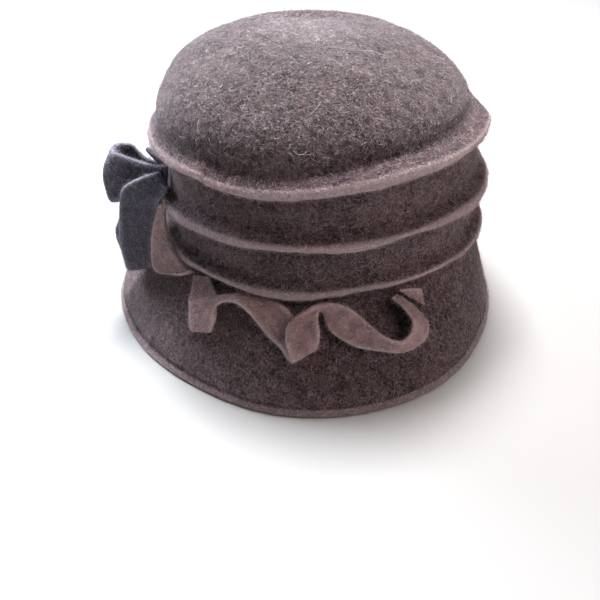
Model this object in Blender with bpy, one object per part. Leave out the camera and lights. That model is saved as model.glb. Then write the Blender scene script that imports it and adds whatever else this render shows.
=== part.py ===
"""Cloche hat of boiled wool felt, resting on its brim.

The crown and the brim are one piece of felt. Three sewn tucks run round the crown as drooping
ridges, the brim flares out under the lowest one, and a folded felt strip and a bow of felt
loops are sewn to its side. Metres, +Z up, front of the hat towards -Y. The origin is under the
middle of the hat's outline, in the plane that the brim's edge rests on.
"""

import bmesh
import bpy
import numpy as np
from mathutils import Matrix, Vector

# Head and felt
HEAD_RADIUS = 0.0905
FELT = 0.0028
GAP = 0.0003

# Crown: a low rounded dome that leans a little to one side. Its spring line is a share of the
# height, its radius a share of the wall's and its shift a share of its own radius
CROWN_HEIGHT = 0.1690
DOME_SPRING = 0.716
DOME_WIDTH = 0.982
DOME_ROUNDNESS = 2.12
DOME_SHIFT = 0.040
DOME_LEAN = 0.079
LEAN_TURN = 130.0

# Tucks, from the top down: how high the ridge's middle is as a share of the crown's height, its
# reach as a share of the longest, and the share of the ridge that is lost where it flattens out
TUCK_REACH = 0.0088
TUCK_THICKNESS = 0.0060
TUCK_RISE = 0.0105
TUCKS = (
    {"level": 0.696, "reach": 0.84, "fade": 0.85},
    {"level": 0.499, "reach": 1.00, "fade": 0.45},
    {"level": 0.317, "reach": 0.91, "fade": 0.40},
)
FADE_TURN = 140.0
FADE_SPREAD = 25.0

# Where a tuck sags, or lifts, as shares of the deepest sag; tier 0 is the topmost tuck
SAG = 0.0040
SAGS = (
    {"tier": 0, "turn": 15.0, "spread": 22.0, "drop": 0.75},
    {"tier": 0, "turn": 64.0, "spread": 16.0, "drop": -0.45},
    {"tier": 1, "turn": 100.0, "spread": 14.0, "drop": 0.60},
    {"tier": 2, "turn": 98.0, "spread": 15.0, "drop": 1.00},
    {"tier": 2, "turn": 49.0, "spread": 11.0, "drop": -0.50},
)

# How a tuck grows out of the wall above it: shares of its reach and of its rise
TUCK_FLARE = (
    {"out": 0.00, "up": 1.00},
    {"out": 0.06, "up": 0.66},
    {"out": 0.24, "up": 0.36},
)
LIP_ANGLES = (62.0, 28.0, -8.0, -48.0, -90.0, -135.0)
GROOVE_DROP = 0.10

# Brim: how far its edge reaches past the crown's wall, as shares of the overhang, every 30
# degrees from the front round to the right
BRIM_OVERHANG = 0.0460
BRIM_REACH = (0.92, 1.00, 0.885, 0.54, 0.285, 0.225, 0.24, 0.36, 0.63, 0.91, 1.05, 0.985)
BRIM_ROWS = (0.12, 0.26, 0.40, 0.54, 0.68, 0.84)

# How the brim leaves the wall, flares and droops at its edge: the handles of its curve, as
# shares of its overhang and of the height that it falls
BRIM_HANDLES = ({"out": 0.02, "down": 0.26}, {"out": 0.70, "down": 0.50})

# The edge's small round, as a share of the felt, and where the brim's slope at the edge is read
EDGE_ROUND = 0.25
EDGE_SHARE = 0.97

# Soft dents in the dome: where they lie seen from above, as shares of the dome's radius, and
# how deep they are as shares of the deepest
DENT_DEPTH = 0.0030
DENTS = (
    {"turn": 215.0, "from_top": 0.30, "length": 0.42, "breadth": 0.11, "depth": 1.0},
    {"turn": 100.0, "from_top": 0.62, "length": 0.16, "breadth": 0.08, "depth": 0.6},
)

# Felt strips, cut thinner than the body
STRIP_FELT = 0.0024
STRIP_WIDTH = 0.0190
BOW_REACH = 0.0350

# A strip is a table of sections, and each section has the place of its two long edges. "turn"
# is in degrees from the front. Over the brim, "level" is the share of the way down the brim and
# "lift" the height above a strip that lies on it, in strip widths. Beside the tucks, "up" counts
# the tucks from the lowest (0) to the topmost (2). "out" goes from the crown's wall (-1) past
# the lips (0) to the bow's full reach (1). "belly" bulges a section, in strip widths
RUFFLE = (
    {"turn": (-14.6, -7.0), "level": (0.28, 0.19), "lift": (0.10, 0.10)},
    {"turn": (-12.1, -2.4), "level": (0.42, 0.30), "lift": (0.07, 0.07)},
    {"turn": (-11.2, 0.2), "level": (0.49, 0.41), "lift": (0.07, 0.07)},
    {"turn": (-9.0, 2.0), "level": (0.55, 0.49), "lift": (0.08, 0.08)},
    {"turn": (-4.2, 2.8), "level": (0.69, 0.63), "lift": (0.22, 0.22)},
    {"turn": (-5.4, 3.6), "level": (0.66, 0.61), "lift": (0.44, 0.44)},
    {"turn": (-6.9, 2.4), "level": (0.55, 0.51), "lift": (0.46, 0.44)},
    {"turn": (-2.6, 4.0), "level": (0.42, 0.45), "lift": (0.34, 0.47)},
    {"turn": (6.6, 8.9), "level": (0.26, 0.44), "lift": (0.18, 0.60)},
    {"turn": (14.7, 13.6), "level": (0.22, 0.46), "lift": (0.13, 0.44)},
    {"turn": (21.8, 19.0), "level": (0.25, 0.52), "lift": (0.11, 0.18)},
    {"turn": (28.5, 23.6), "level": (0.41, 0.59), "lift": (0.09, 0.11)},
    {"turn": (33.7, 27.4), "level": (0.59, 0.70), "lift": (0.22, 0.24)},
    {"turn": (34.9, 25.8), "level": (0.56, 0.60), "lift": (0.44, 0.46)},
    {"turn": (34.4, 26.2), "level": (0.45, 0.49), "lift": (0.46, 0.50)},
    {"turn": (34.9, 30.6), "level": (0.35, 0.40), "lift": (0.34, 0.55)},
    {"turn": (35.8, 36.6), "level": (0.34, 0.36), "lift": (0.19, 0.65)},
    {"turn": (37.6, 42.8), "level": (0.47, 0.37), "lift": (0.12, 0.55)},
    {"turn": (43.4, 48.0), "level": (0.59, 0.49), "lift": (0.12, 0.50)},
    {"turn": (50.0, 51.8), "level": (0.66, 0.64), "lift": (0.14, 0.60)},
    {"turn": (56.3, 55.7), "level": (0.72, 0.73), "lift": (0.18, 0.71)},
    {"turn": (63.4, 59.0), "level": (0.71, 0.70), "lift": (0.20, 0.76)},
    {"turn": (66.5, 60.1), "level": (0.60, 0.63), "lift": (0.18, 0.76)},
    {"turn": (64.1, 59.1), "level": (0.41, 0.49), "lift": (0.16, 0.60)},
    {"turn": (60.5, 57.3), "level": (0.26, 0.35), "lift": (0.12, 0.39)},
)
STRIP_END = (
    {"turn": (61.0, 64.3), "level": (0.30, 0.33), "lift": (0.42, 0.10)},
    {"turn": (64.4, 65.9), "level": (0.32, 0.38), "lift": (0.44, 0.06)},
    {"turn": (68.3, 68.4), "level": (0.36, 0.44), "lift": (0.42, 0.03)},
)
BOW_TAIL = (
    {"turn": (-27.5, -29.2), "out": (-0.10, 0.02), "up": (0.86, 0.82)},
    {"turn": (-28.6, -31.8), "out": (-0.05, 0.23), "up": (0.31, 0.25)},
    {"turn": (-22.5, -33.0), "level": (0.34, 0.55), "lift": (0.67, 0.42)},
    {"turn": (-17.0, -29.0), "level": (0.32, 0.50), "lift": (0.39, 0.16)},
    {"turn": (-13.4, -20.0), "level": (0.29, 0.41), "lift": (0.32, 0.28)},
)
BOW_UPPER_LOOP = (
    {"turn": (-33.0, -30.0), "out": (-0.76, -0.36), "up": (1.50, 1.16), "belly": 0.00},
    {"turn": (-38.5, -39.5), "out": (0.17, 0.36), "up": (1.58, 0.85), "belly": 0.00},
    {"turn": (-40.9, -41.1), "out": (0.44, 0.70), "up": (1.68, 0.73), "belly": -0.06},
    {"turn": (-44.0, -43.8), "out": (0.58, 0.82), "up": (1.70, 0.71), "belly": -0.22},
    {"turn": (-48.0, -48.0), "out": (0.51, 0.70), "up": (1.70, 0.87), "belly": -0.14},
    {"turn": (-50.4, -50.4), "out": (0.32, 0.44), "up": (1.59, 1.00), "belly": -0.04},
    {"turn": (-50.0, -50.0), "out": (0.15, 0.16), "up": (1.37, 1.04), "belly": 0.00},
    {"turn": (-48.0, -48.6), "out": (-0.33, -0.02), "up": (1.26, 1.00), "belly": 0.00},
)
BOW_LOWER_LOOP = (
    {"turn": (-30.6, -27.0), "out": (-0.23, -0.45), "up": (1.51, 1.30)},
    {"turn": (-32.8, -27.6), "out": (0.23, -0.28), "up": (1.43, 1.16)},
    {"turn": (-35.0, -29.2), "out": (0.53, 0.03), "up": (1.24, 1.02)},
    {"turn": (-35.6, -31.2), "out": (0.66, 0.02), "up": (0.90, 0.74)},
    {"turn": (-36.4, -34.6), "out": (0.78, 0.22), "up": (0.15, 0.07)},
    {"turn": (-37.2, -36.0), "out": (0.78, 0.33), "up": (-0.45, -0.56)},
    {"turn": (-39.5, -38.4), "out": (0.76, 0.34), "up": (-0.74, -0.70)},
    {"turn": (-43.0, -41.5), "out": (0.80, 0.37), "up": (-0.58, -0.62)},
    {"turn": (-44.0, -43.0), "out": (0.85, 0.30), "up": (0.02, -0.04)},
    {"turn": (-44.4, -43.5), "out": (0.58, 0.06), "up": (0.46, 0.37)},
    {"turn": (-44.0, -43.5), "out": (0.24, -0.97), "up": (0.60, 0.56)},
)
BOW_TIP = (
    {"turn": (-45.0, -45.0), "out": (-0.90, -0.90), "up": (1.44, 1.27)},
    {"turn": (-47.0, -47.0), "out": (-0.31, -0.24), "up": (1.48, 1.32)},
    {"turn": (-49.0, -49.0), "out": (0.06, 0.05), "up": (1.56, 1.46)},
)

# Colours
BODY_COLOUR = (0.115, 0.088, 0.088)
TRIM_COLOUR = (0.125, 0.090, 0.088)
FELT_ROUGHNESS = 0.95

# Fineness of the faceted solids
COLUMNS = 60
DOME_ROWS = (82.0, 73.0, 64.0, 55.0, 46.0, 37.0, 28.0, 19.0)
DOME_FOOT = 10.5
STRIP_STEPS = 4
STRIP_COLUMNS = 3


def outward(turn):
    """Unit vectors away from the crown's axis, at angles in degrees from the front."""
    angle = np.radians(turn)
    return np.stack([np.sin(angle), -np.cos(angle)], axis=-1)


TURNS = np.arange(COLUMNS) * 360.0 / COLUMNS
WALL_RADIUS = HEAD_RADIUS + FELT
DOME_RADIUS = DOME_WIDTH * WALL_RADIUS
DOME_HEIGHT = CROWN_HEIGHT * (1.0 - DOME_SPRING)
TUCK_HEIGHTS = [tuck["level"] * CROWN_HEIGHT for tuck in TUCKS]
GROOVE_HEIGHT = TUCK_HEIGHTS[-1] - GROOVE_DROP * TUCK_THICKNESS
STRIP_SEAT = STRIP_FELT / 2 + GAP
BOW_SEAT = WALL_RADIUS + TUCK_REACH + STRIP_SEAT


def smooth_loop(values, turn):
    """Read a closed row of evenly spaced values at any angle, on a Catmull-Rom curve."""
    values = np.asarray(values)
    place = np.mod(np.asarray(turn, dtype=float), 360.0) * len(values) / 360.0
    start = np.floor(place).astype(int)
    share = place - start
    before, here, after, beyond = (values[(start + step) % len(values)] for step in (-1, 0, 1, 2))
    slope = (after - before) / 2
    curve = before - 2.5 * here + 2.0 * after - 0.5 * beyond
    bend = 0.5 * (beyond - before) + 1.5 * (here - after)
    return here + share * (slope + share * (curve + share * bend))


def rim_radius(turn):
    """Distance from the crown's axis to the brim's edge."""
    return WALL_RADIUS + BRIM_OVERHANG * smooth_loop(BRIM_REACH, turn)


def brim_point(turn, share):
    """Radius and height of the brim's upper face, a cubic curve from the groove (0) to the edge (1)."""
    first, second = BRIM_HANDLES
    early = 3.0 * share * (1.0 - share) ** 2
    late = 3.0 * share ** 2 * (1.0 - share)
    out = early * first["out"] + late * second["out"] + share ** 3
    down = early * first["down"] + late * second["down"] + share ** 3
    radius = WALL_RADIUS + (rim_radius(turn) - WALL_RADIUS) * out
    return radius, GROOVE_HEIGHT * (1.0 - down)


def brim_normal(turn, share):
    """Radial and upright parts of the unit normal of the brim's upper face."""
    step = 0.01
    r_low, z_low = brim_point(turn, share - step)
    r_high, z_high = brim_point(turn, share + step)
    length = np.hypot(r_high - r_low, z_high - z_low)
    return (z_low - z_high) / length, (r_high - r_low) / length


def ring(radius, height, columns=TURNS):
    """A ring of points about the crown's axis; radius and height may vary round it."""
    flat = outward(columns) * np.reshape(radius, (-1, 1))
    height = np.broadcast_to(height, len(columns))
    return np.column_stack([flat, height])


def dent_depth(flat):
    """Depth of the dents at points seen from above, in metres."""
    depth = np.zeros(len(flat))
    for dent in DENTS:
        away = outward(dent["turn"])
        along = np.array([-away[1], away[0]])
        local = flat - away * dent["from_top"] * DOME_RADIUS
        across_share = local @ away / (dent["breadth"] * DOME_RADIUS)
        along_share = local @ along / (dent["length"] * DOME_RADIUS)
        fall = np.exp(-across_share ** 2 - along_share ** 2)
        depth = depth + dent["depth"] * DENT_DEPTH * fall
    return depth


def dome_ring(angle, inset):
    """A ring of the dome at an angle above its spring line: a leaning super-ellipsoid."""
    power = 2.0 / DOME_ROUNDNESS
    height = DOME_HEIGHT - inset
    radius = (DOME_RADIUS - inset) * np.cos(np.radians(angle)) ** power
    rise = height * np.sin(np.radians(angle)) ** power
    flat = outward(TURNS) * radius
    lean = DOME_LEAN * (flat @ outward(LEAN_TURN)) * rise / height
    rise = rise - lean - dent_depth(flat)
    flat = flat - outward(LEAN_TURN) * DOME_SHIFT * DOME_RADIUS
    return np.column_stack([flat, CROWN_HEIGHT - DOME_HEIGHT + rise])


def tuck_fullness(tuck, turn):
    """Share of a tuck's full size at an angle: one, less a flat-topped bump round FADE_TURN."""
    return 1.0 - tuck["fade"] * np.exp(-((turn - FADE_TURN) / FADE_SPREAD) ** 4)


def tuck_heights(tier, turn):
    """Height of the middle of one tuck's ridge at an angle, with its sags."""
    height = np.full_like(turn, TUCK_HEIGHTS[tier])
    for sag in SAGS:
        if sag["tier"] == tier:
            height -= SAG * sag["drop"] * np.exp(-((turn - sag["turn"]) / sag["spread"]) ** 2)
    return height


def tuck_rings(tuck, height, top_ring):
    """Rings of one tuck: down the flare from top_ring, round the lip and into the groove."""
    fullness = tuck_fullness(tuck, TURNS)
    half = fullness * TUCK_THICKNESS / 2
    lip_radius = WALL_RADIUS + fullness * tuck["reach"] * TUCK_REACH - half
    lip = [ring(lip_radius + half * np.cos(angle), height + half * np.sin(angle))
           for angle in np.radians(LIP_ANGLES)]
    flare = [top_ring + (lip[0] - top_ring) * [row["out"], row["out"], 1.0 - row["up"]]
             for row in TUCK_FLARE]
    return flare + lip + [ring(WALL_RADIUS, height - GROOVE_DROP * TUCK_THICKNESS)]


def outer_rings():
    """Rings of the hat's outside, from the first one under the top to the brim's edge."""
    rings = [dome_ring(angle, 0.0) for angle in DOME_ROWS]
    top_ring = dome_ring(DOME_FOOT, 0.0)
    for tier, tuck in enumerate(TUCKS):
        if tier > 0:
            top_ring = ring(WALL_RADIUS, tuck_heights(tier, TURNS) + TUCK_RISE)
        rings += tuck_rings(tuck, tuck_heights(tier, TURNS), top_ring)
    rings += [ring(*brim_point(TURNS, share)) for share in BRIM_ROWS]
    edge = rim_radius(TURNS)
    rings.append(ring(edge, EDGE_ROUND * FELT))
    rings.append(ring(edge - EDGE_ROUND * FELT, 0.0))
    return rings


def inner_rings():
    """Rings of the hat's inside, from the brim's edge up to the last one under the top."""
    across, upright = brim_normal(TURNS, EDGE_SHARE)
    rings = [ring(rim_radius(TURNS) - FELT / across, 0.0)]
    for share in reversed(BRIM_ROWS):
        radius, height = brim_point(TURNS, share)
        across, upright = brim_normal(TURNS, share)
        rings.append(ring(radius - FELT * across, height - FELT * upright))
    rings += [ring(HEAD_RADIUS, height) for height in reversed(TUCK_HEIGHTS)]
    rings.append(dome_ring(DOME_FOOT, FELT))
    rings += [dome_ring(angle, FELT) for angle in reversed(DOME_ROWS)]
    return rings


def strip_edge(sections, side):
    """Points of one long edge of a strip: side 0 or 1 of each section of its table."""
    points = []
    for section in sections:
        turn = section["turn"][side]
        if "level" in section:
            radius, height = brim_point(turn, section["level"][side])
            height = height + STRIP_SEAT + section["lift"][side] * STRIP_WIDTH
        else:
            out, up = section["out"][side], section["up"][side]
            reach = BOW_REACH if out > 0 else BOW_SEAT - WALL_RADIUS - GAP
            radius = BOW_SEAT + out * reach
            height = np.interp(max(up, 0.0), (0, 1, 2), TUCK_HEIGHTS[::-1])
            height = height + min(up, 0.0) * (TUCK_HEIGHTS[1] - TUCK_HEIGHTS[2])
        points.append([*(outward(turn) * radius), height])
    return np.array(points)


def smooth_line(values, steps):
    """A Catmull-Rom curve through the rows of values, with a number of steps between two."""
    values = np.asarray(values, dtype=float)
    ends = np.vstack([2 * values[0] - values[1], values, 2 * values[-1] - values[-2]])
    before, here, after, beyond = ends[:-3], ends[1:-2], ends[2:-1], ends[3:]
    share = np.linspace(0.0, 1.0, steps, endpoint=False)[None, :, None]
    slope = (after - before)[:, None] / 2
    curve = (before - 2.5 * here + 2.0 * after - 0.5 * beyond)[:, None]
    bend = (0.5 * (beyond - before) + 1.5 * (here - after))[:, None]
    line = here[:, None] + share * (slope + share * (curve + share * bend))
    return np.vstack([line.reshape(-1, values.shape[1]), values[-1:]])


def unit(vectors):
    """The same vectors at length one."""
    return vectors / np.linalg.norm(vectors, axis=-1, keepdims=True)


def felt_strip(sections):
    """Points of a strip, ring by ring: across one face from edge to edge and back on the other."""
    first = smooth_line(strip_edge(sections, 0), STRIP_STEPS)
    second = smooth_line(strip_edge(sections, 1), STRIP_STEPS)
    belly = smooth_line([[section.get("belly", 0.0)] for section in sections], STRIP_STEPS)
    along = unit(np.gradient((first + second) / 2, axis=0))
    normal = unit(np.cross(second - first, along))[:, None]
    share = np.linspace(0.0, 1.0, STRIP_COLUMNS + 1)[None, :, None]
    middle = first[:, None] + (second - first)[:, None] * share
    middle = middle + normal * (belly * STRIP_WIDTH)[:, None] * np.sin(np.pi * share)
    half = normal * STRIP_FELT / 2
    return np.concatenate([middle + half, (middle - half)[:, ::-1]], axis=1)


def felt_material(name, colour):
    """Matt felt of one colour."""
    material = bpy.data.materials.new(name + "_felt")
    material.use_nodes = True
    shader = material.node_tree.nodes["Principled BSDF"]
    shader.inputs["Base Color"].default_value = (*colour, 1.0)
    shader.inputs["Roughness"].default_value = FELT_ROUGHNESS
    shader.inputs["Metallic"].default_value = 0.0
    return material


def add_object(name, points, faces, colour):
    """A smooth shaded object with its own mesh and material."""
    mesh = bpy.data.meshes.new(name)
    mesh.from_pydata(points.tolist(), [], faces)
    mesh.validate()
    mesh.shade_smooth()
    mesh.materials.append(felt_material(name, colour))
    piece = bpy.data.objects.new(name, mesh)
    bpy.context.scene.collection.objects.link(piece)
    return piece


def quads_between_rings(rows, columns):
    """Faces of a tube whose rings follow each other, each with the same number of points."""
    faces = []
    for row in range(rows - 1):
        for column in range(columns):
            following = (column + 1) % columns
            low, high = row * columns, (row + 1) * columns
            faces.append((low + column, high + column, high + following, low + following))
    return faces


def turn_faces_outwards(mesh):
    """Make the normals of a closed mesh agree and point out of the body."""
    cage = bmesh.new()
    cage.from_mesh(mesh)
    bmesh.ops.recalc_face_normals(cage, faces=cage.faces)
    cage.to_mesh(mesh)
    cage.free()


def make_crown_and_brim():
    """The felt body as one skin: outside from the top down, then inside back up to the top."""
    outer_top = dome_ring(90.0, 0.0)[:1]
    inner_top = dome_ring(90.0, FELT)[:1]
    rings = outer_rings() + inner_rings()
    points = np.concatenate(rings + [outer_top, inner_top])
    faces = quads_between_rings(len(rings), COLUMNS)
    last = (len(rings) - 1) * COLUMNS
    outer_index = len(rings) * COLUMNS
    inner_index = outer_index + 1
    for column in range(COLUMNS):
        following = (column + 1) % COLUMNS
        faces.append((outer_index, column, following))
        faces.append((inner_index, last + following, last + column))
    add_object("crown_and_brim", points, faces, BODY_COLOUR)


def make_strip(name, sections):
    """A closed strip of felt with cut ends, its faces turned outwards."""
    rings = felt_strip(sections)
    rows, columns = rings.shape[:2]
    faces = quads_between_rings(rows, columns)
    last = (rows - 1) * columns
    for column in range(STRIP_COLUMNS):
        opposite = columns - 1 - column
        faces.append((column, column + 1, opposite - 1, opposite))
        faces.append((last + opposite, last + opposite - 1, last + column + 1, last + column))
    strip = add_object(name, rings.reshape(-1, 3), faces, TRIM_COLOUR)
    turn_faces_outwards(strip.data)


def clear_scene():
    """Remove what the file starts with."""
    for item in list(bpy.data.objects):
        bpy.data.objects.remove(item, do_unlink=True)


def centre_on_origin():
    """Shift every piece alike, so that the origin is under the middle of the whole hat."""
    pieces = list(bpy.context.scene.objects)
    corners = np.array([corner for piece in pieces for corner in piece.bound_box])
    low, high = corners.min(axis=0), corners.max(axis=0)
    shift = Vector((*(-(low + high) / 2)[:2], -low[2]))
    for piece in pieces:
        piece.data.transform(Matrix.Translation(shift))


def main():
    """Build every piece of the hat."""
    clear_scene()
    make_crown_and_brim()
    make_strip("ruffle_strip", RUFFLE)
    make_strip("strip_end", STRIP_END)
    make_strip("bow_tail", BOW_TAIL)
    make_strip("bow_upper_loop", BOW_UPPER_LOOP)
    make_strip("bow_lower_loop", BOW_LOWER_LOOP)
    make_strip("bow_tip", BOW_TIP)
    centre_on_origin()


main()
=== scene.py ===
"""The looks of a boiled wool cloche hat: a felt body with three sewn tucks, a folded felt ruffle,
a bow of felt loops and the wool's own fuzz, on a pale floor in soft light."""

import bpy
import numpy as np
from mathutils import Matrix, Vector


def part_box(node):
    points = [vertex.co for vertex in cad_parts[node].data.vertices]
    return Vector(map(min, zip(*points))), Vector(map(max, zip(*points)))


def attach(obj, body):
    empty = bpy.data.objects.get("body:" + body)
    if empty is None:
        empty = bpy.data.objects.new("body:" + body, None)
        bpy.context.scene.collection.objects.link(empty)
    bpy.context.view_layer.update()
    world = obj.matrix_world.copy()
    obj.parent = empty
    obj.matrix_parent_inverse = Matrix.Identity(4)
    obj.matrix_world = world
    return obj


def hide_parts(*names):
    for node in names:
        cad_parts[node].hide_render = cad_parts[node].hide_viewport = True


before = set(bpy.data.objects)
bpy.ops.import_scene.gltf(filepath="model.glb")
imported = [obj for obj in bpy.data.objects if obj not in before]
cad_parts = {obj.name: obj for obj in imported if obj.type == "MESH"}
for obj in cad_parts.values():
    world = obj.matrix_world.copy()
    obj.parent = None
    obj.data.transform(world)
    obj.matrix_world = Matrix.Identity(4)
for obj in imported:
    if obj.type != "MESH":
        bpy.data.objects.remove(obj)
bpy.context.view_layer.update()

SEED = 41

# The felt body, in metres. Angles are degrees from the front of the hat, round to its left
HEAD_RADIUS = 0.0905
FELT = 0.0028
GAP = 0.0003
CROWN_HEIGHT = 0.1690
DOME_SPRING = 0.716
DOME_WIDTH = 0.982
DOME_ROUNDNESS = 2.12
DOME_SHIFT = 0.040
DOME_LEAN = 0.079
LEAN_TURN = 130.0

# Tucks, from the top down: height and reach as shares of the crown's height and the longest
# reach, and the share that is lost where the ridge flattens out
TUCK_REACH = 0.0088
TUCK_THICKNESS = 0.0060
TUCK_RISE = 0.0105
TUCKS = (
    {"level": 0.696, "reach": 0.84, "fade": 0.85},
    {"level": 0.499, "reach": 1.00, "fade": 0.45},
    {"level": 0.317, "reach": 0.91, "fade": 0.40},
)
FADE_TURN = 140.0
FADE_SPREAD = 25.0
SAG = 0.0040
SAGS = (
    {"tier": 0, "turn": 15.0, "spread": 22.0, "drop": 0.75},
    {"tier": 0, "turn": 64.0, "spread": 16.0, "drop": -0.45},
    {"tier": 1, "turn": 100.0, "spread": 14.0, "drop": 0.60},
    {"tier": 2, "turn": 98.0, "spread": 15.0, "drop": 1.00},
    {"tier": 2, "turn": 49.0, "spread": 11.0, "drop": -0.50},
)

# The profile of a tuck: down its flare, then round its lip. Its nap value tells how pale and
# hairy the felt is there and where shade is painted: from -1, painted shade in a groove, under
# a lip and down the band and flare below it, to 1 on a rubbed ridge, where the lips' paleness
# is partly painted light from above
TUCK_FLARE = (
    {"out": 0.00, "up": 1.00, "nap_and_shade": -0.35},
    {"out": 0.06, "up": 0.66, "nap_and_shade": -0.30},
    {"out": 0.24, "up": 0.36, "nap_and_shade": -0.25},
)
TUCK_LIP = (
    {"angle": 62.0, "nap_and_shade": 0.25},
    {"angle": 28.0, "nap_and_shade": 1.00},
    {"angle": -8.0, "nap_and_shade": 1.00},
    {"angle": -48.0, "nap_and_shade": 0.85},
    {"angle": -90.0, "nap_and_shade": -0.25},
    {"angle": -135.0, "nap_and_shade": -1.00},
)
GROOVE_DROP = 0.10
# Painted shade in the groove under each lip and at the top of the band below it
GROOVE_SHADE = -1.0
TUCK_TOP_SHADE = -0.4

# The brim: how far it reaches past the wall, as shares read evenly round the hat from the
# front, and the handles of its curve from the groove to the edge
BRIM_OVERHANG = 0.0460
BRIM_REACH = (0.92, 1.00, 0.885, 0.54, 0.285, 0.225, 0.24, 0.36, 0.63, 0.91, 1.05, 0.985)
BRIM_HANDLES = ({"out": 0.02, "down": 0.26}, {"out": 0.70, "down": 0.50})
# The brim's rows carry painted shade, deepest at the groove and fading towards the edge, where the
# crown shades the brim
BRIM_ROWS = (
    {"level": 0.06, "nap_and_shade": -1.00},
    {"level": 0.12, "nap_and_shade": -0.90},
    {"level": 0.26, "nap_and_shade": -0.65},
    {"level": 0.40, "nap_and_shade": -0.45},
    {"level": 0.54, "nap_and_shade": -0.40},
    {"level": 0.68, "nap_and_shade": -0.35},
    {"level": 0.80, "nap_and_shade": -0.30},
    {"level": 0.90, "nap_and_shade": -0.20},
    {"level": 0.96, "nap_and_shade": 0.10},
)
EDGE_ROUND = 0.25
EDGE_SHARE = 0.97
EDGE_NAPS = {"outer": 0.7, "foot": 0.5, "inner": 0.4}

# The hem's pressed line on the brim: how far from the edge, how broad and how deep, where it
# shows most and the share of it that shows a quarter of the way round from there. The band
# below it is paler, the line itself darker
HEM_WIDTH = 0.0058
HEM_LINE = 0.0010
HEM_DEPTH = 0.0011
HEM_TURN = 130.0
HEM_FAINTEST = 0.25
HEM_PALENESS = 0.5
HEM_SHADE = 0.8

# Soft dents and folds, seen from above, as shares of the dome's radius and of DENT_DEPTH
DENT_DEPTH = 0.0030
DENTS = (
    {"turn": 215.0, "from_top": 0.30, "length": 0.42, "breadth": 0.11, "depth": 1.3},
    {"turn": 100.0, "from_top": 0.62, "length": 0.16, "breadth": 0.08, "depth": 0.9},
    {"turn": 28.0, "from_top": 0.78, "length": 0.34, "breadth": 0.14, "depth": 0.8},
    {"turn": 330.0, "from_top": 0.66, "length": 0.15, "breadth": 0.10, "depth": 0.5},
)

# Unevenness of the felt: size of the lumps and how far they stand out, in metres, and how many
# random values they draw on. It fades below LEVEL_FOOT, where the brim rests, and is weaker on
# the strips
LUMPS = (
    {"size": 0.042, "height": 0.0017},
    {"size": 0.014, "height": 0.00042},
    {"size": 0.0060, "height": 0.00030},
)
LATTICE = 256
LEVEL_FOOT = 0.0056
STRIP_LUMPS = 0.5

# The dome turns greyer towards its top as painted cool daylight: where that starts, and the
# share of the colour that is left at its top
COOL_LIGHT_FROM = 0.115
COOL_LIGHT_SATURATION = 0.66

# The body's grid: columns round the hat, and the distance between rows outside, over the last
# rings before the edge, and inside. The dome's rings are given by their angle
COLUMNS = 240
ROW_STEP = 0.00145
EDGE_STEP = 0.00060
EDGE_RINGS = 4
INNER_STEP = 0.0038
# The dome's rings carry painted light on its top and painted shade round its lower part
DOME_ROWS = (
    {"angle": 86.0, "nap_and_shade": 0.25},
    {"angle": 80.0, "nap_and_shade": 0.25},
    {"angle": 73.0, "nap_and_shade": 0.15},
    {"angle": 64.0, "nap_and_shade": -0.10},
    {"angle": 55.0, "nap_and_shade": -0.45},
    {"angle": 46.0, "nap_and_shade": -0.70},
    {"angle": 37.0, "nap_and_shade": -0.75},
    {"angle": 28.0, "nap_and_shade": -0.65},
    {"angle": 19.0, "nap_and_shade": -0.45},
)
DOME_FOOT = 10.5

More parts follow.
